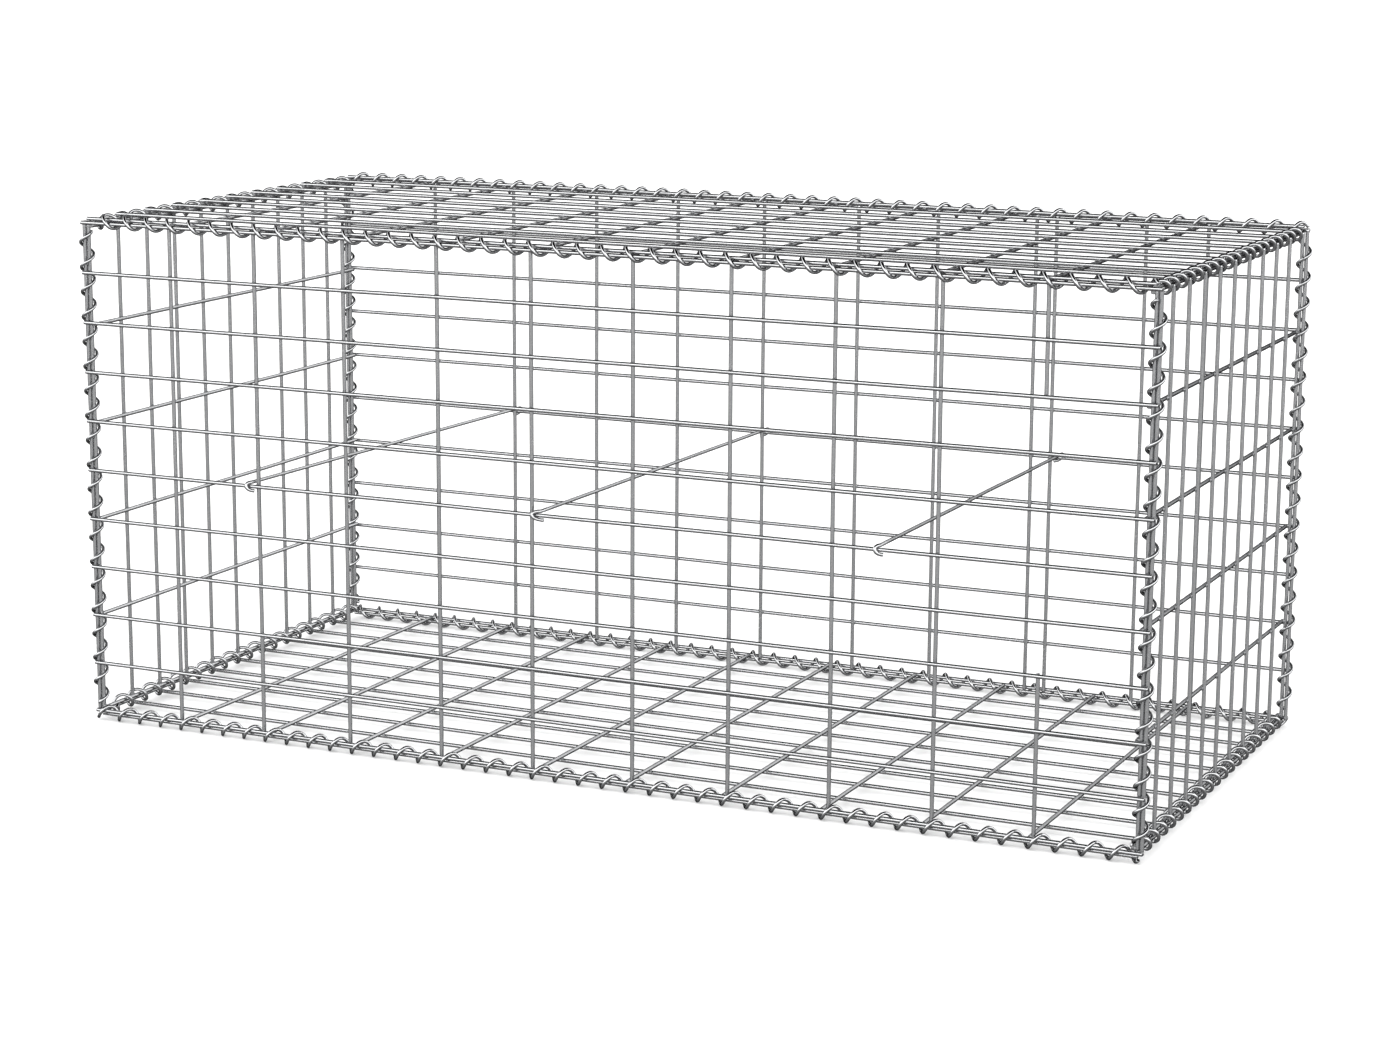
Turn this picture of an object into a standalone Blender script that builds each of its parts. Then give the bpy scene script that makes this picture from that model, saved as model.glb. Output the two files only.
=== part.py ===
"""Gabion basket: a welded-mesh box with a mesh lid, its edges laced by spiral
binders, and three cross ties at half height.

Frame: +X along the length, the front panel faces -Y, +Z up. The origin is at the
middle of the footprint, and z = 0 is the underside of the lowest spirals, on
which the basket rests. Metres.
"""

import math

import bmesh
import bpy
from mathutils import Matrix, Vector

# ---------------------------------------------------------------- dimensions
LENGTH = 1.100  # nominal, 11 mesh openings of 100 mm
DEPTH = 0.500  # nominal, 10 openings of 50 mm
HEIGHT = 0.500  # nominal, 10 openings of 50 mm
COLUMNS = 11  # openings along the length
ROWS = 10  # openings up the front, and across the lid
END_LEVELS = 5  # openings up an end panel
WIRE_R = 0.0021  # mesh wire, 4 mm: the ridge radius of its six-sided section
LAYER = 0.0035  # between the axes of the two layers of wires, welded where they cross
CUT = 0.0014  # how far a wire runs past the axis of the edge wire it ends on
SPIRAL_R = 0.0083  # corner radius of a spiral's six-sided turn
SPIRAL_SECTION = 0.0019  # corner radius of its wire's section
SPIRAL_PITCH = 0.025
SPIRAL_STEPS = 6  # straight runs in each turn
TIE_WIRE_R = 0.0019
TIE_HOOK_R = 0.0045  # centreline radius of a tie's hook
TIE_HOOK_ANGLE = 168.0  # how far round it bends
TIE_HOOK_STEPS = 7
TIE_TIP = 0.003  # sideways run of a front hook's tip, to the right
TIE_SWEEP = 0.009  # sideways run of a back hook's tip, to the left

STAGGER = 0.00215  # wires of neighbouring sheets pass side by side: half their spacing
OUTSET = 0.0029  # front and back sheets' outer wires, out from the nominal depth
EDGE = 0.0038  # offset of two lengthwise edge wires in one spiral, along Y and Z
END_DROP = 0.0071  # an end sheet's top wire below the lid's outer wires
END_IN = 0.0044  # an end sheet's edge wire, in from the front sheet's outer wires
LID_SHORT = 0.0007  # the lid's edge wire, in from the end sheet's outer wires

FLAT_OUT = (SPIRAL_R + SPIRAL_SECTION / 2) * math.cos(math.pi / SPIRAL_STEPS)
X0, X1 = -LENGTH / 2, LENGTH / 2
Y0, Y1 = -DEPTH / 2, DEPTH / 2
FRONT_Y, BACK_Y = Y0 - OUTSET, Y1 + OUTSET  # outer wires of front and back
LEFT_X, RIGHT_X = X0 + STAGGER, X1 - STAGGER  # outer wires of the ends
BASE_Z = FLAT_OUT - EDGE / 2  # outer wires of the base
LID_Z = BASE_Z + HEIGHT + 0.0068  # outer wires of the lid

# ---------------------------------------------------------------- clean start
for old in list(bpy.data.objects):
    bpy.data.objects.remove(old, do_unlink=True)

scene = bpy.context.scene
parts = bpy.data.collections.new("gabion_basket")
cutters = bpy.data.collections.new("cutters")
scene.collection.children.link(parts)
scene.collection.children.link(cutters)


def steel(name, colour, roughness):
    m = bpy.data.materials.new(name)
    m.use_nodes = True
    bsdf = m.node_tree.nodes["Principled BSDF"]
    bsdf.inputs["Base Color"].default_value = (*colour, 1.0)
    bsdf.inputs["Roughness"].default_value = roughness
    bsdf.inputs["Metallic"].default_value = 1.0
    return m


def spread(a, b, count):
    """count + 1 even positions from a to b."""
    return [a + (b - a) * i / count for i in range(count + 1)]


# ---------------------------------------------------------------- mesh sheets
def add_rod(bm, start, end, ridge):
    """A six-sided rod with two of its ridges along +-ridge."""
    start, end, ridge = Vector(start), Vector(end), Vector(ridge)
    along = (end - start).normalized()
    turn = Matrix((ridge.cross(along), ridge, along)).transposed().to_4x4()
    bmesh.ops.create_cone(
        bm,
        cap_ends=True,
        segments=6,
        radius1=WIRE_R,
        radius2=WIRE_R,
        depth=(end - start).length,
        matrix=Matrix.Translation((start + end) / 2) @ turn,
    )


def rods(name, runs, ridge, collection):
    bm = bmesh.new()
    for start, end in runs:
        add_rod(bm, start, end, ridge)
    mesh = bpy.data.meshes.new(name)
    bm.to_mesh(mesh)
    bm.free()
    ob = bpy.data.objects.new(name, mesh)
    collection.objects.link(ob)
    return ob


def sheet(name, outer, inner, normal, colour, roughness):
    """A welded sheet: its outer wires joined to its inner wires at every crossing."""
    ob = rods(name, outer, normal, parts)
    cross = rods(name + "_cross_wires", inner, normal, cutters)
    cross.hide_render = True
    cross.display_type = "WIRE"
    weld = ob.modifiers.new("weld", "BOOLEAN")
    weld.operation = "UNION"
    weld.solver = "EXACT"
    weld.object = cross
    ob.data.materials.append(steel(name + "_zinc", colour, roughness))
    return ob


# Upright wires of front and back stand to the outside of the cross wires of base
# and lid, so that they pass side by side in the spirals.
def column_positions(side):
    half = COLUMNS // 2
    return [
        X0 + LENGTH * i / COLUMNS + side * (-STAGGER if i <= half else STAGGER)
        for i in range(COLUMNS + 1)
    ]


upright_x = column_positions(1)
cross_x = column_positions(-1)
cross_x[0], cross_x[-1] = LEFT_X + LID_SHORT, RIGHT_X - LID_SHORT
low_z, high_z = BASE_Z + EDGE, LID_Z - EDGE
front_levels = spread(low_z, high_z, ROWS)


def side_sheet(name, y, inward, xs, missing, colour, roughness):
    """Front or back: lengthwise wires outside, uprights inside. missing gives the
    levels between which one upright has lost its wire."""
    outer = [
        ((xs[0] - CUT, y, z), (xs[-1] + CUT, y, z)) for z in front_levels
    ]
    yi = y + inward * LAYER
    inner = []
    for i, x in enumerate(xs):
        if i in missing:
            lo, hi = missing[i]
            inner.append(((x, yi, low_z - CUT), (x, yi, front_levels[lo] + CUT)))
            inner.append(((x, yi, front_levels[hi] - CUT), (x, yi, high_z + CUT)))
        else:
            inner.append(((x, yi, low_z - CUT), (x, yi, high_z + CUT)))
    return sheet(name, outer, inner, (0, 1, 0), colour, roughness)


# Some uprights of the front stand off their even places, one most of all, and the
# one beside it has lost its middle length, as seen.
front_x = list(upright_x)
for i, off in ((2, -0.0028), (3, -0.0028), (6, 0.0015), (8, 0.0019), (9, 0.0030)):
    front_x[i] += off
side_sheet(
    "front_panel", FRONT_Y, 1, front_x, {10: (3, 8)}, (0.60, 0.61, 0.62), 0.38
)
# The back's uprights are unevenly set and don't stand behind the front's, and there
# is one more of them: two stand close together near the right.
back_x = [
    upright_x[0],
    *(
        X0 + s
        for s in (
            0.1142, 0.2135, 0.3163, 0.4148, 0.5164, 0.6249,
            0.7140, 0.8216, 0.8430, 0.9382, 1.0021,
        )
    ),
    upright_x[-1],
]
side_sheet("back_panel", BACK_Y, -1, back_x, {}, (0.58, 0.59, 0.60), 0.40)


def end_sheet(name, x, inward, colour):
    """An end: uprights outside, level wires inside."""
    ys = spread(FRONT_Y + END_IN, BACK_Y - END_IN, ROWS)
    zs = spread(BASE_Z + END_DROP, LID_Z - END_DROP, END_LEVELS)
    reach = 0.0012
    outer = [((x, y, zs[0] - reach), (x, y, zs[-1] + reach)) for y in ys]
    xi = x + inward * LAYER
    inner = [((xi, ys[0] - CUT, z), (xi, ys[-1] + CUT, z)) for z in zs]
    return sheet(name, outer, inner, (1, 0, 0), colour, 0.40)


end_sheet("left_end_panel", LEFT_X, 1, (0.59, 0.60, 0.61))
end_sheet("right_end_panel", RIGHT_X, -1, (0.61, 0.62, 0.63))


def flat_sheet(name, z, inward, colour):
    """Base or lid: lengthwise wires outside, cross wires inside."""
    ys = spread(FRONT_Y + EDGE, BACK_Y - EDGE, ROWS)
    outer = [((cross_x[0] - CUT, y, z), (cross_x[-1] + CUT, y, z)) for y in ys]
    zi = z + inward * LAYER
    inner = [((x, ys[0] - CUT, zi), (x, ys[-1] + CUT, zi)) for x in cross_x]
    return sheet(name, outer, inner, (0, 0, 1), colour, 0.38)


flat_sheet("base_panel", BASE_Z, 1, (0.57, 0.58, 0.59))
flat_sheet("lid_panel", LID_Z, -1, (0.62, 0.63, 0.64))


# ---------------------------------------------------------------- spirals
def spiral(name, centre, axis, across, up, first, last, level, angle, hand, tilt=0.0):
    """A spiral about centre, along axis, from first to last along it. across and
    up span the plane of its turns, in which angles run from across to up. At
    the place level along the axis its wire stands at angle degrees. Corners are
    at tilt + 60 degrees each. hand is 1 right, -1 left."""
    centre, axis = Vector(centre), Vector(axis)
    across, up = Vector(across), Vector(up)
    step = 360.0 / SPIRAL_STEPS
    rise = SPIRAL_PITCH / SPIRAL_STEPS
    spin_sign = hand if axis.dot(across.cross(up)) > 0 else -hand
    # places along the axis of the corners at tilt, one each pitch
    at = level + spin_sign * (tilt - angle) / 360.0 * SPIRAL_PITCH
    count = math.ceil((first - at) / rise)
    start, steps = at + count * rise, 0
    while start + (steps + 1) * rise <= last + 1e-9:
        steps += 1
    begin = math.radians(tilt + spin_sign * count * step)
    out = across * math.cos(begin) + up * math.sin(begin)
    wide = SPIRAL_SECTION * math.sqrt(3) / 2 * 1.12
    here = centre + axis * start
    bm = bmesh.new()
    corners = [
        bm.verts.new(here + out * (SPIRAL_R + SPIRAL_SECTION / 2) + axis * wide),
        bm.verts.new(here + out * (SPIRAL_R + SPIRAL_SECTION / 2) - axis * wide),
        bm.verts.new(here + out * (SPIRAL_R - SPIRAL_SECTION)),
    ]
    face = bm.faces.new(corners)
    turned = across.cross(up)
    bmesh.ops.spin(
        bm,
        geom=[face, *face.edges, *face.verts],
        cent=centre,
        axis=turned,
        dvec=axis * rise,
        angle=math.radians(step * steps) * spin_sign,
        steps=steps,
        use_merge=False,
        use_duplicate=False,
    )
    bmesh.ops.recalc_face_normals(bm, faces=bm.faces)
    mesh = bpy.data.meshes.new(name)
    bm.to_mesh(mesh)
    bm.free()
    ob = bpy.data.objects.new(name, mesh)
    parts.objects.link(ob)
    ob.data.materials.append(steel(name + "_zinc", (0.66, 0.67, 0.68), 0.30))
    return ob


X, Y, Z = (1, 0, 0), (0, 1, 0), (0, 0, 1)
HALF = EDGE / 2
# lengthwise, two edge wires in each: in front, at a cross wire the spiral is at the
# outer corner, and at the back the wires of both sheets pass between its turns
for name, y, z, angle, hand in (
    ("spiral_front_top", FRONT_Y + HALF, LID_Z - HALF, 135, 1),
    ("spiral_front_bottom", FRONT_Y + HALF, BASE_Z + HALF, 225, -1),
    ("spiral_back_top", BACK_Y - HALF, LID_Z - HALF, 22.3, -1),
    ("spiral_back_bottom", BACK_Y - HALF, BASE_Z + HALF, 337.7, 1),
):
    spiral(name, (0, y, z), X, Y, Z, X0 - 0.002, X1 + 0.002, X0, angle, hand)

# upright, at the corners: between the last uprights of two sheets
CORNER_Y = (LAYER + END_IN) / 2
LOW, HIGH = BASE_Z + 0.0118, LID_Z - 0.0118
for name, x, y, angle in (
    ("spiral_front_left", X0, FRONT_Y + CORNER_Y, 140),
    ("spiral_front_right", X1, FRONT_Y + CORNER_Y, 40),
    ("spiral_back_left", X0, BACK_Y - CORNER_Y, 220),
    ("spiral_back_right", X1, BACK_Y - CORNER_Y, 320),
):
    spiral(name, (x, y, 0), Z, X, Y, LOW, HIGH, (LID_Z + BASE_Z) / 2, angle, 1, 30)

# across the ends: between the last cross wires of an end and of the lid or base
SIDE_X = (LAYER + LID_SHORT) / 2
SIDE_Z = (LAYER + END_DROP) / 2
NEAR, FAR = FRONT_Y + 0.0150, BACK_Y - 0.0150
for name, x, z, angle in (
    ("spiral_left_top", LEFT_X + SIDE_X, LID_Z - SIDE_Z, 178.5),
    ("spiral_left_bottom", LEFT_X + SIDE_X, BASE_Z + SIDE_Z, 181.5),
    ("spiral_right_top", RIGHT_X - SIDE_X, LID_Z - SIDE_Z, 1.5),
    ("spiral_right_bottom", RIGHT_X - SIDE_X, BASE_Z + SIDE_Z, -1.5),
):
    spiral(name, (x, 0, z), Y, X, Z, NEAR, FAR, 0.0, angle, 1)


# ---------------------------------------------------------------- cross ties
MID_Z = front_levels[ROWS // 2]


def tie(name, x_front, reach, x_back):
    """A wire that hooks over the middle lengthwise wire of front and back. In front
    the hook swings reach to the left and its tip comes back to the right. At the
    back the tip runs to the left."""
    front, back = [], []
    for k in range(TIE_HOOK_STEPS + 1):
        t = k / TIE_HOOK_STEPS
        a = math.radians(90 + TIE_HOOK_ANGLE * t)
        c, s = TIE_HOOK_R * math.cos(a), TIE_HOOK_R * math.sin(a)
        side = TIE_TIP * t**3 - reach * math.sin(math.pi * t)
        front.append((x_front + side, FRONT_Y + c, MID_Z + s))
        back.append((x_back - TIE_SWEEP * t**3, BACK_Y - c, MID_Z + s))
    points = [*reversed(front), *back]
    curve = bpy.data.curves.new(name, "CURVE")
    curve.dimensions = "3D"
    line = curve.splines.new("POLY")
    line.points.add(len(points) - 1)
    for p, co in zip(line.points, points):
        p.co = (*co, 1.0)
    curve.bevel_depth = TIE_WIRE_R
    curve.bevel_resolution = 1
    curve.use_fill_caps = True
    ob = bpy.data.objects.new(name, curve)
    parts.objects.link(ob)
    curve.materials.append(steel(name + "_zinc", (0.55, 0.56, 0.57), 0.42))
    return ob


tie("tie_wire_left", X0 + 0.1895, 0.0045, X0 + 0.2180)
tie("tie_wire_middle", X0 + 0.5097, 0.0080, X0 + 0.5209)
tie("tie_wire_right", X0 + 0.8518, 0.0040, X0 + 0.8544)
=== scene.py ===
"""Gabion basket: the finished look of every wire, round the fixed model.

Metres, in the model's own frame: +X along the length, the front faces -Y, +Z up.
"""

import math
import random

import bmesh
import bpy
from mathutils import Matrix, Vector, noise


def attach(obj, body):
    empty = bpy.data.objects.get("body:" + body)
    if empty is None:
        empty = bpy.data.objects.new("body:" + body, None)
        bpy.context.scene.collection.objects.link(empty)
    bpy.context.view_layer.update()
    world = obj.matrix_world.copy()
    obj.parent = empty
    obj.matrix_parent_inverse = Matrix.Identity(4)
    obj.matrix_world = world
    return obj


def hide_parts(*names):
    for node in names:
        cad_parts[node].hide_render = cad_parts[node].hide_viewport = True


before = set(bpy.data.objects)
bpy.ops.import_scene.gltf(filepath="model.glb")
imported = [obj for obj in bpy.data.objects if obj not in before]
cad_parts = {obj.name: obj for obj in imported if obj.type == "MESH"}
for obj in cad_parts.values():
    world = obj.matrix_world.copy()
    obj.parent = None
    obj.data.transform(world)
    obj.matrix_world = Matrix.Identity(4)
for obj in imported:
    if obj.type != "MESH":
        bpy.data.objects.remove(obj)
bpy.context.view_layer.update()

# ------------------------------------------------------------------ dimensions
WIRE = 0.0020  # radius of the mesh wire
SPIRAL_WIRE = 0.00172
TIE_WIRE = 0.0018
LAYER = 0.0035
CUT = 0.0014
PITCH = 0.025
TURN_R = 0.00625  # a spiral's centreline radius
WIDE_TURN_R = 0.0070  # of the two that lace the ends to the base
FLAT_OUT = (0.0083 + 0.00095) * math.cos(math.pi / 6)
X0, X1, Y0, Y1 = -0.55, 0.55, -0.25, 0.25
STAGGER, OUTSET, EDGE = 0.00215, 0.0029, 0.0038
END_DROP, END_IN, LID_SHORT = 0.0071, 0.0044, 0.0007
FRONT_Y, BACK_Y = Y0 - OUTSET, Y1 + OUTSET
LEFT_X, RIGHT_X = X0 + STAGGER, X1 - STAGGER
BASE_Z = FLAT_OUT - EDGE / 2
LID_Z = BASE_Z + 0.5068
RING = 12  # sides of a mesh wire
RNG = random.Random(7)

# ------------------------------------------------------------------ camera
cam_data = bpy.data.cameras.new("camera")
cam = bpy.data.objects.new("camera", cam_data)
bpy.context.scene.collection.objects.link(cam)
bpy.context.scene.camera = cam
cam_data.sensor_fit = "HORIZONTAL"
cam_data.sensor_width = 36.0
cam_data.lens = 3135.2 / 1386 * 36
cam_data.clip_end = 200.0
YAW, PITCH_DOWN, ROLL = math.radians(-24.843), math.radians(11.637), math.radians(-0.342)
ahead = Vector(
    (
        math.sin(YAW) * math.cos(PITCH_DOWN),
        math.cos(YAW) * math.cos(PITCH_DOWN),
        -math.sin(PITCH_DOWN),
    )
)
right = Vector((math.cos(YAW), -math.sin(YAW), 0.0))
down = ahead.cross(right)
right_r = right * math.cos(ROLL) + down * math.sin(ROLL)
down_r = down * math.cos(ROLL) - right * math.sin(ROLL)
basis = Matrix((right_r, -down_r, -ahead)).transposed().to_4x4()
cam.matrix_world = Matrix.Translation((1.3024, -2.8133, 0.8512)) @ basis


# ------------------------------------------------------------------ materials
def zinc(name, tone, rough, spangle, dull, bump):
    """Galvanised wire: crystals of slightly different grey, dull patches, a fine
    grain in the relief and small specks of white bloom, all from the surface's
    own place."""
    m = bpy.data.materials.new(name)
    m.use_nodes = True
    nt = m.node_tree
    n, link = nt.nodes, nt.links.new
    bsdf = n["Principled BSDF"]
    bsdf.inputs["Metallic"].default_value = 1.0
    bsdf.inputs["Specular Tint"].default_value = (0.0, 0.0, 0.0, 1.0)
    place = n.new("ShaderNodeTexCoord")

    crystal = n.new("ShaderNodeTexVoronoi")
    crystal.inputs["Scale"].default_value = spangle
    link(place.outputs["Object"], crystal.inputs["Vector"])
    cloud = n.new("ShaderNodeTexNoise")
    cloud.inputs["Scale"].default_value = 22.0
    cloud.inputs["Detail"].default_value = 5.0
    cloud.inputs["Roughness"].default_value = 0.6
    link(place.outputs["Object"], cloud.inputs["Vector"])
    speck = n.new("ShaderNodeTexNoise")
    speck.inputs["Scale"].default_value = 900.0
    speck.inputs["Detail"].default_value = 3.0
    link(place.outputs["Object"], speck.inputs["Vector"])

    grey = n.new("ShaderNodeSeparateColor")
    link(crystal.outputs["Color"], grey.inputs["Color"])
    mixed = n.new("ShaderNodeMath")
    mixed.operation = "MULTIPLY_ADD"
    link(grey.outputs["Red"], mixed.inputs[0])
    mixed.inputs[1].default_value = 0.35
    link(cloud.outputs["Fac"], mixed.inputs[2])
    ramp = n.new("ShaderNodeValToRGB")
    ramp.color_ramp.elements[0].position = 0.38
    ramp.color_ramp.elements[0].color = (*[c * dull for c in tone], 1.0)
    ramp.color_ramp.elements[1].position = 0.92
    ramp.color_ramp.elements[1].color = (*tone, 1.0)
    link(mixed.outputs[0], ramp.inputs["Fac"])

    bloom = n.new("ShaderNodeValToRGB")
    bloom.color_ramp.elements[0].position = 0.62
    bloom.color_ramp.elements[0].color = (0.0, 0.0, 0.0, 1.0)
    bloom.color_ramp.elements[1].position = 0.80
    bloom.color_ramp.elements[1].color = (1.0, 1.0, 1.0, 1.0)
    link(speck.outputs["Fac"], bloom.inputs["Fac"])
    colour = n.new("ShaderNodeMix")
    colour.data_type = "RGBA"
    link(bloom.outputs["Color"], colour.inputs["Factor"])
    link(ramp.outputs["Color"], colour.inputs[6])
    colour.inputs[7].default_value = (*[min(1.0, c * 1.25) for c in tone], 1.0)
    link(colour.outputs[2], bsdf.inputs["Base Color"])

    shine = n.new("ShaderNodeMapRange")
    shine.inputs["From Min"].default_value = 0.3
    shine.inputs["From Max"].default_value = 1.1
    shine.inputs["To Min"].default_value = rough + 0.10
    shine.inputs["To Max"].default_value = rough - 0.06
    link(mixed.outputs[0], shine.inputs["Value"])
    link(shine.outputs["Result"], bsdf.inputs["Roughness"])

    grain = n.new("ShaderNodeTexNoise")
    grain.inputs["Scale"].default_value = 420.0
    grain.inputs["Detail"].default_value = 4.0
    link(place.outputs["Object"], grain.inputs["Vector"])
    relief = n.new("ShaderNodeBump")
    relief.inputs["Strength"].default_value = bump
    relief.inputs["Distance"].default_value = 0.0003
    link(grain.outputs["Fac"], relief.inputs["Height"])
    link(relief.outputs["Normal"], bsdf.inputs["Normal"])
    return m


MESH_ZINC = zinc("mesh_zinc", (0.56, 0.565, 0.575), 0.20, 260.0, 0.90, 0.04)
SPIRAL_ZINC = zinc("spiral_zinc", (0.53, 0.535, 0.545), 0.08, 320.0, 0.88, 0.02)
TIE_ZINC = zinc("tie_zinc", (0.55, 0.555, 0.565), 0.22, 240.0, 0.90, 0.05)
WELD_ZINC = zinc("weld_zinc", (0.50, 0.505, 0.515), 0.40, 380.0, 0.62, 0.55)


# ------------------------------------------------------------------ wire shapes
def tube(bm, path, radius, sides, side_ref, mat=0):
    """A round wire along path with cut ends. side_ref is a direction that isn't
    along the path."""
    rings = []
    last = len(path) - 1
    ref = Vector(side_ref)
    for i, p in enumerate(path):
        a = path[max(0, i - 1)]
        b = path[min(last, i + 1)]
        t = (b - a).normalized()
        u = (ref - t * ref.dot(t)).normalized()
        v = t.cross(u)
        ref = u
        ring = []
        for k in range(sides):
            w = 2 * math.pi * k / sides
            ring.append(bm.verts.new(p + (u * math.cos(w) + v * math.sin(w)) * radius))
        rings.append(ring)
    for r0, r1 in zip(rings, rings[1:]):
        for k in range(sides):
            j = (k + 1) % sides
            f = bm.faces.new((r0[k], r0[j], r1[j], r1[k]))
            f.smooth = True
            f.material_index = mat
    # each end is sheared: a short bevel, then a slightly tilted flat
    for ring, at, away in ((rings[0], path[0], path[0] - path[1]), (rings[-1], path[-1], path[-1] - path[-2])):
        out = away.normalized()
        cap = []
        for k in range(sides):
            q = ring[k].co - at
            tilt = 0.10 * q.dot(Vector((0.5, 0.6, 0.62)))
            cap.append(bm.verts.new(at + q * 0.80 + out * (0.0003 + tilt)))
        for k in range(sides):
            j = (k + 1) % sides
            pair = (ring[k], ring[j], cap[j], cap[k]) if ring is rings[-1] else (ring[j], ring[k], cap[k], cap[j])
            f = bm.faces.new(pair)
            f.smooth = True
            f.material_index = mat
        f = bm.faces.new(cap if ring is rings[-1] else cap[::-1])
        f.material_index = mat


def weld_nugget(bm, at, along, across, normal, size, mat):
    """The squeezed-out metal at a weld: a low saddle-shaped bead between the two
    crossing wires, at their contact."""
    cols, rows = 12, 6
    verts = []
    for r in range(1, rows):
        lat = math.pi * r / rows
        ring = []
        for c in range(cols):
            lon = 2 * math.pi * c / cols
            x = math.cos(lon) * math.sin(lat)
            y = math.sin(lon) * math.sin(lat)
            z = math.cos(lat)
            # four lobes, one in each corner between the wires
            lobe = 1.0 + 0.16 * abs(math.sin(2 * lon)) * math.sin(lat)
            ring.append(
                bm.verts.new(
                    at
                    + along * x * size[0] * lobe
                    + across * y * size[1] * lobe
                    + normal * z * size[2]
                )
            )
        verts.append(ring)
    top = bm.verts.new(at + normal * size[2])
    bottom = bm.verts.new(at - normal * size[2])
    faces = []
    for c in range(cols):
        d = (c + 1) % cols
        faces.append(bm.faces.new((top, verts[0][c], verts[0][d])))
        faces.append(bm.faces.new((bottom, verts[-1][d], verts[-1][c])))
        for r0, r1 in zip(verts, verts[1:]):
            faces.append(bm.faces.new((r0[c], r1[c], r1[d], r0[d])))
    for f in faces:
        f.smooth = True
        f.material_index = mat


def spread(a, b, count):
    return [a + (b - a) * i / count for i in range(count + 1)]


def column_positions(side):
    return [
        X0 + 1.1 * i / 11 + side * (-STAGGER if i <= 5 else STAGGER) for i in range(12)
    ]


UPRIGHT_X = column_positions(1)
CROSS_X = column_positions(-1)
CROSS_X[0], CROSS_X[-1] = LEFT_X + LID_SHORT, RIGHT_X - LID_SHORT
LOW_Z, HIGH_Z = BASE_Z + EDGE, LID_Z - EDGE
LEVELS = spread(LOW_Z, HIGH_Z, 10)


def finish_mesh(bm, name, slots):
    bmesh.ops.recalc_face_normals(bm, faces=bm.faces)
    mesh = bpy.data.meshes.new(name)
    bm.to_mesh(mesh)
    bm.free()
    for m in slots:
        mesh.materials.append(m)
    ob = bpy.data.objects.new(name, mesh)
    bpy.context.scene.collection.objects.link(ob)
    return ob


def wave(seed, s, size):
    """A wire is never quite straight: a slow wander of a few tenths of a mm."""
    return (
        noise.noise(Vector((seed * 3.7, s * 5.0, 0.3))) * size,
        noise.noise(Vector((seed * 3.7, s * 5.0, 9.1))) * size,
    )


def sheet(node, to_world, first, second, short_wires=(), slack=0.00045):
    """A welded sheet in its own plane. first: wires along u at each v, on the
    outer side. second: wires along v at each u, on the inner side. to_world
    turns (u, v, out) into the model's frame; out = 0 is the outer wires' axis."""
    us, vs = second, first
    bm = bmesh.new()
    seed = sum(map(ord, node)) % 97

    def wander_v(j, u):  # how far the outer wire j is off its line, in v, at u
        edge = 0 if j in (0, len(vs) - 1) else 1
        return wave(seed + j, u, slack * edge)[0]

    def wander_u(i, v):
        edge = 0 if i in (0, len(us) - 1) else 1
        return wave(seed + 40 + i, v, slack * edge)[0]

    def marks(stops, a, b, near):
        """Places along a wire: its ends, and three at every weld."""
        out = {a, b}
        for s in stops:
            for d in (-near, 0.0, near):
                if a < s + d < b:
                    out.add(s + d)
        mids = sorted(out)
        for p, q in zip(mids, mids[1:]):
            if q - p > 0.02:
                out.add((p + q) / 2)
        return sorted(out)

    near = 0.0032
    for j, v in enumerate(vs):
        path = [
            to_world(u, v + wander_v(j, u), 0.0)
            for u in marks(us, us[0] - CUT, us[-1] + CUT, near)
        ]
        tube(bm, path, WIRE, RING, to_world(0, 0, 1) - to_world(0, 0, 0))
    for i, u in enumerate(us):
        spans = [(vs[0] - CUT, vs[-1] + CUT)]
        for which, lo, hi in short_wires:
            if which == i:
                spans = [(vs[0] - CUT, vs[lo] + CUT), (vs[hi] - CUT, vs[-1] + CUT)]
        for a, b in spans:
            path = [
                to_world(u + wander_u(i, v), v, -LAYER)
                for v in marks(vs, a, b, near)
            ]
            tube(bm, path, WIRE, RING, to_world(0, 0, 1) - to_world(0, 0, 0))
            for j, v in enumerate(vs):
                if a <= v <= b:
                    du = (to_world(1, 0, 0) - to_world(0, 0, 0))
                    dv = (to_world(0, 1, 0) - to_world(0, 0, 0))
                    dn = (to_world(0, 0, 1) - to_world(0, 0, 0))
                    k = RNG.uniform(0.88, 1.12)
                    weld_nugget(
                        bm,
                        to_world(u + wander_u(i, v), v + wander_v(j, u), -LAYER / 2),
                        du,
                        dv,
                        dn,
                        (0.00215 * k, 0.00215 * k, 0.0011),
                        1,
                    )
    ob = finish_mesh(bm, node + "_wires", [MESH_ZINC, WELD_ZINC])
    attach(ob, "root")
    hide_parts(node)
    return ob


front_x = list(UPRIGHT_X)
for i, off in ((2, -0.0028), (3, -0.0028), (6, 0.0015), (8, 0.0019), (9, 0.0030)):
    front_x[i] += off
back_x = [
    UPRIGHT_X[0],
    *(
        X0 + s
        for s in (
            0.1142, 0.2135, 0.3163, 0.4148, 0.5164, 0.6249,
            0.7140, 0.8216, 0.8430, 0.9382, 1.0021,
        )
    ),
    UPRIGHT_X[-1],
]
sheet("front_panel", lambda u, v, o: Vector((u, FRONT_Y - o, v)), LEVELS, front_x, [(10, 3, 8)])
sheet("back_panel", lambda u, v, o: Vector((u, BACK_Y + o, v)), LEVELS, back_x)
END_Y = spread(FRONT_Y + END_IN, BACK_Y - END_IN, 10)
END_Z = spread(BASE_Z + END_DROP, LID_Z - END_DROP, 5)
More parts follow.
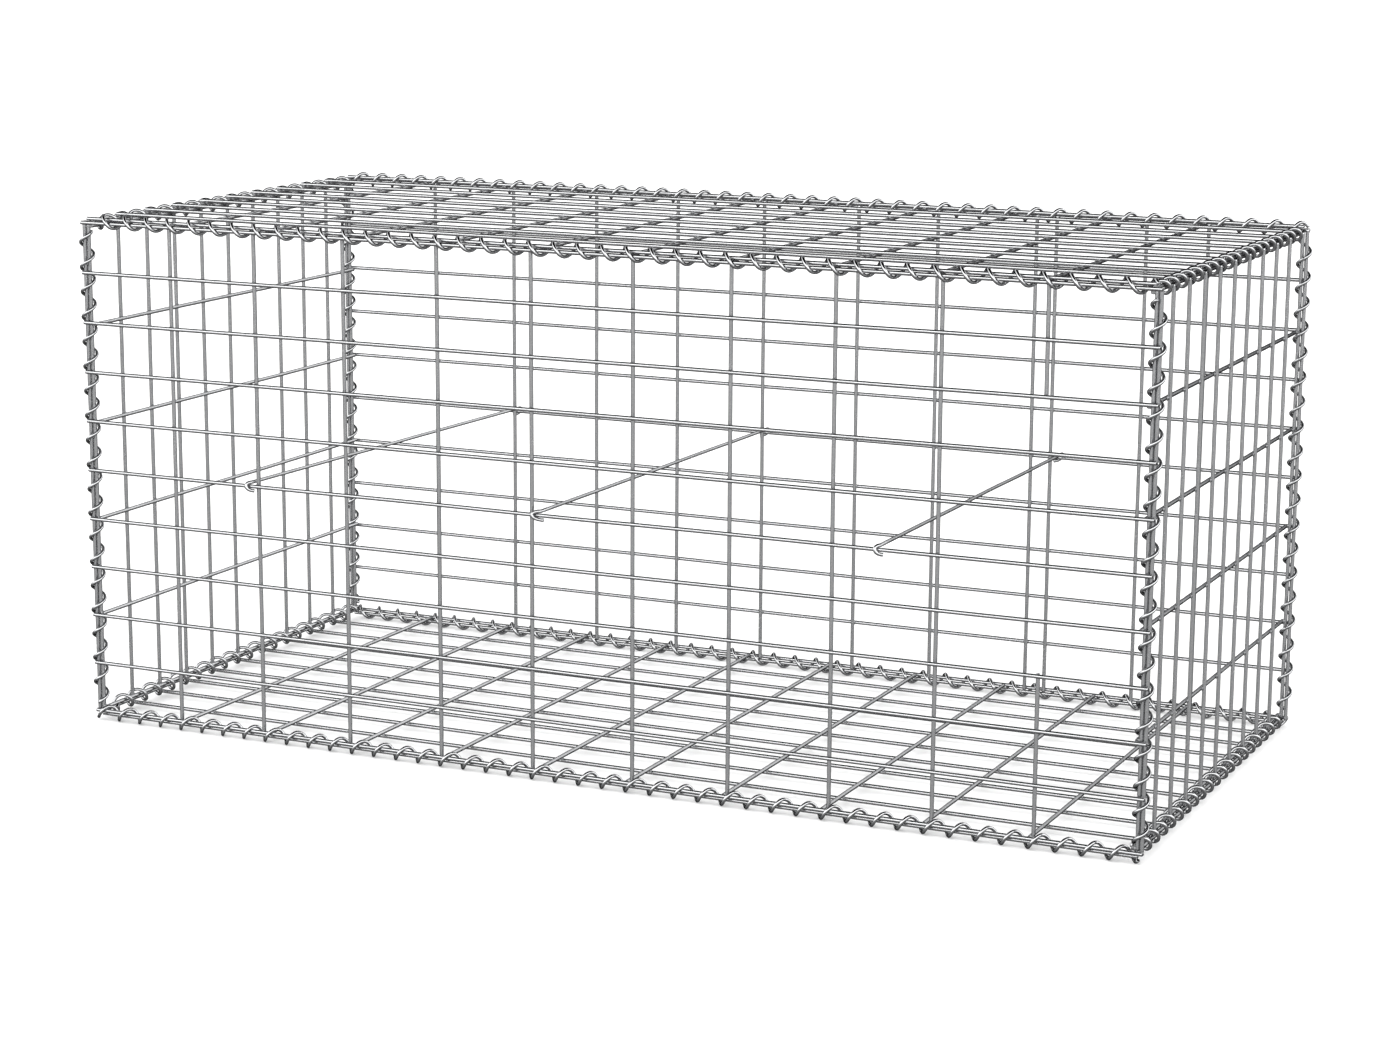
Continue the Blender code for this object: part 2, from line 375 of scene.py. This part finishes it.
# an end's outer wires stand upright: u is Z and v is Y
sheet("left_end_panel", lambda u, v, o: Vector((LEFT_X - o, v, u)), END_Y, END_Z)
sheet("right_end_panel", lambda u, v, o: Vector((RIGHT_X + o, v, u)), END_Y, END_Z)
FLAT_Y = spread(FRONT_Y + EDGE, BACK_Y - EDGE, 10)
sheet("base_panel", lambda u, v, o: Vector((u, v, BASE_Z - o)), FLAT_Y, CROSS_X)
sheet("lid_panel", lambda u, v, o: Vector((u, v, LID_Z + o)), FLAT_Y, CROSS_X)


# ------------------------------------------------------------------ spirals
def spiral(node, centre, axis, across, up, first, last, level, angle, hand, radius=TURN_R):
    """A round spring of wire through the edge wires of two sheets, with its cut
    ends pulled in a little."""
    centre, axis = Vector(centre), Vector(axis)
    across, up = Vector(across), Vector(up)
    sense = hand if axis.dot(across.cross(up)) > 0 else -hand
    per_turn = 22
    count = int(round((last - first) / PITCH * per_turn))
    seed = sum(map(ord, node)) % 89
    path = []
    for i in range(count + 1):
        s = first + (last - first) * i / count
        w = math.radians(angle) + sense * 2 * math.pi * (s - level) / PITCH
        lean = noise.noise(Vector((seed, s * 30.0, 0.0)))
        r = radius * (1.0 + 0.012 * lean)
        # the last half turn at each end closes in on the edge wires
        end = min(i, count - i) / (per_turn * 0.5)
        if end < 1.0:
            r *= 0.93 + 0.07 * end
        push = 0.0005 * noise.noise(Vector((seed, s * 22.0, 4.0)))
        path.append(
            centre + axis * (s + push) + across * (r * math.cos(w)) + up * (r * math.sin(w))
        )
    bm = bmesh.new()
    tube(bm, path, SPIRAL_WIRE, 10, path[0] - (centre + axis * first))
    ob = finish_mesh(bm, node + "_wire", [SPIRAL_ZINC])
    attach(ob, "root")
    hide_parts(node)
    return ob


AX, AY, AZ = (1, 0, 0), (0, 1, 0), (0, 0, 1)
HALF = EDGE / 2
for node, y, z, angle, hand, lead in (
    ("spiral_front_top", FRONT_Y + HALF, LID_Z - HALF, 135, 1, 0.0135),
    ("spiral_front_bottom", FRONT_Y + HALF, BASE_Z + HALF, 225, -1, -0.001),
    ("spiral_back_top", BACK_Y - HALF, LID_Z - HALF, 22.3, -1, 0.006),
    ("spiral_back_bottom", BACK_Y - HALF, BASE_Z + HALF, 337.7, 1, 0.001),
):
    spiral(node, (0, y, z), AX, AY, AZ, X0 + lead, X1 + 0.001, X0, angle, hand)
CORNER_Y = (LAYER + END_IN) / 2
LOW, HIGH = BASE_Z + 0.0125, LID_Z - 0.0125
for node, x, y, angle in (
    ("spiral_front_left", X0, FRONT_Y + CORNER_Y, 140),
    ("spiral_front_right", X1, FRONT_Y + CORNER_Y, 40),
    ("spiral_back_left", X0, BACK_Y - CORNER_Y, 220),
    ("spiral_back_right", X1, BACK_Y - CORNER_Y, 320),
):
    spiral(node, (x, y, 0), AZ, AX, AY, LOW, HIGH, (LID_Z + BASE_Z) / 2, angle, 1)
SIDE_X = (LAYER + LID_SHORT) / 2
SIDE_Z = (LAYER + END_DROP) / 2
NEAR, FAR = FRONT_Y + 0.0150, BACK_Y - 0.0150
for node, x, z, angle, radius in (
    ("spiral_left_top", LEFT_X + SIDE_X, LID_Z - SIDE_Z, 178.5, TURN_R),
    ("spiral_left_bottom", LEFT_X + SIDE_X, BASE_Z + SIDE_Z, 181.5, WIDE_TURN_R),
    ("spiral_right_top", RIGHT_X - SIDE_X, LID_Z - SIDE_Z, 1.5, TURN_R),
    ("spiral_right_bottom", RIGHT_X - SIDE_X, BASE_Z + SIDE_Z, -1.5, WIDE_TURN_R),
):
    spiral(node, (x, 0, z), AY, AX, AZ, NEAR, FAR, 0.0, angle, 1, radius)

# ------------------------------------------------------------------ cross ties
MID_Z = LEVELS[5]
HOOK_R = WIRE + TIE_WIRE + 0.0003


def tie(node, x_front, reach, x_back):
    """A tie wire bent over the middle wire of front and back. In front its hook
    swings to the left and comes back under the wire, at the back it runs to the
    left, and each hook opens a little as it goes round."""
    seed = sum(map(ord, node)) % 83
    steps = 20

    def hook(x, y, inward, swing, tip):
        pts = []
        for k in range(steps + 1):
            t = k / steps
            a = math.radians(90 + 168 * t)
            r = HOOK_R + 0.0003 * math.sin(math.pi * t * 0.75) ** 2
            side = tip * t**3 - swing * math.sin(math.pi * t)
            pts.append(
                Vector((x + side, y + inward * r * math.cos(a), MID_Z + r * math.sin(a)))
            )
        return pts

    front = hook(x_front, FRONT_Y, 1, reach, 0.003)
    back = hook(x_back, BACK_Y, -1, 0.0, -0.009)
    a, b = front[0], back[0]
    run = []
    for k in range(1, 24):
        t = k / 24
        du, dv = wave(seed, t, 0.0008)
        ease = math.sin(math.pi * t)
        run.append(a.lerp(b, t) + Vector((du * ease, 0, dv * ease * 0.5)))
    path = front[::-1] + run + back
    bm = bmesh.new()
    tube(bm, path, TIE_WIRE, 12, Vector((1, 0, 0)))
    ob = finish_mesh(bm, node + "_wire", [TIE_ZINC])
    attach(ob, "root")
    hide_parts(node)
    return ob


tie("tie_wire_left", X0 + 0.1895, 0.0045, X0 + 0.2180)
tie("tie_wire_middle", X0 + 0.5097, 0.0080, X0 + 0.5209)
tie("tie_wire_right", X0 + 0.8518, 0.0040, X0 + 0.8544)

# ------------------------------------------------------------------ studio
floor_mesh = bpy.data.meshes.new("floor")
bm = bmesh.new()
bmesh.ops.create_grid(bm, x_segments=1, y_segments=1, size=60.0)
bm.to_mesh(floor_mesh)
bm.free()
floor = bpy.data.objects.new("floor", floor_mesh)
bpy.context.scene.collection.objects.link(floor)
pale = bpy.data.materials.new("pale_floor")
pale.use_nodes = True
pb = pale.node_tree.nodes["Principled BSDF"]
pb.inputs["Base Color"].default_value = (0.90, 0.90, 0.90, 1.0)
pb.inputs["Roughness"].default_value = 0.9
pb.inputs["Specular IOR Level"].default_value = 0.1
floor_mesh.materials.append(pale)
floor.visible_glossy = False  # the bare metal shows the grey ground of the room

world = bpy.data.worlds.new("studio")
bpy.context.scene.world = world
world.use_nodes = True
wn, wl = world.node_tree.nodes, world.node_tree.links.new
background = wn["Background"]
sky_place = wn.new("ShaderNodeTexCoord")
split = wn.new("ShaderNodeSeparateXYZ")
wl(sky_place.outputs["Generated"], split.inputs[0])
# a bright band round the horizon, a dark ceiling and a grey ground, brighter in
# front of the basket than behind it
height = wn.new("ShaderNodeMapRange")
height.inputs["From Min"].default_value = -1.0
height.inputs["From Max"].default_value = 1.0
wl(split.outputs["Z"], height.inputs["Value"])
sky = wn.new("ShaderNodeValToRGB")
els = sky.color_ramp.elements
els[0].position, els[0].color = 0.0, (0.07, 0.07, 0.07, 1.0)
els[1].position, els[1].color = 1.0, (0.0, 0.0, 0.0, 1.0)
for z, level in (
    (-0.60, 0.10), (-0.35, 0.16), (-0.26, 0.21), (-0.02, 0.20), (0.07, 1.0), (0.58, 1.0), (0.68, 0.0),
):
    e = els.new((z + 1.0) / 2.0)
    e.color = (level, level, level, 1.0)
wl(height.outputs["Result"], sky.inputs["Fac"])
facing = wn.new("ShaderNodeVectorMath")
facing.operation = "DOT_PRODUCT"
wl(sky_place.outputs["Generated"], facing.inputs[0])
facing.inputs[1].default_value = (0.42, -0.907, 0.0)
side = wn.new("ShaderNodeMapRange")
side.interpolation_type = "SMOOTHSTEP"
side.inputs["From Min"].default_value = -0.95
side.inputs["From Max"].default_value = 0.45
side.inputs["To Min"].default_value = 0.50
side.inputs["To Max"].default_value = 1.0
wl(facing.outputs["Value"], side.inputs["Value"])
room = wn.new("ShaderNodeMath")
room.operation = "MULTIPLY"
wl(sky.outputs["Color"], room.inputs[0])
wl(side.outputs["Result"], room.inputs[1])
wl(room.outputs["Value"], background.inputs["Color"])
background.inputs["Strength"].default_value = 2.6


def lamp(name, kind, energy, rotation, **more):
    """The lamps light the pale floor. The bare metal shows the room instead: a
    bright band round the horizon under a dark ceiling."""
    data = bpy.data.lights.new(name, kind)
    data.energy = energy
    for key, value in more.items():
        setattr(data, key, value)
    ob = bpy.data.objects.new(name, data)
    ob.rotation_euler = rotation
    ob.visible_glossy = False
    bpy.context.scene.collection.objects.link(ob)
    return ob


lamp("key", "SUN", 2.0, (math.radians(30), 0.0, math.radians(-35)), angle=math.radians(80))
lamp("fill", "SUN", 1.2, (math.radians(25), 0.0, math.radians(140)), angle=math.radians(100))

bpy.context.scene.view_settings.view_transform = "Standard"
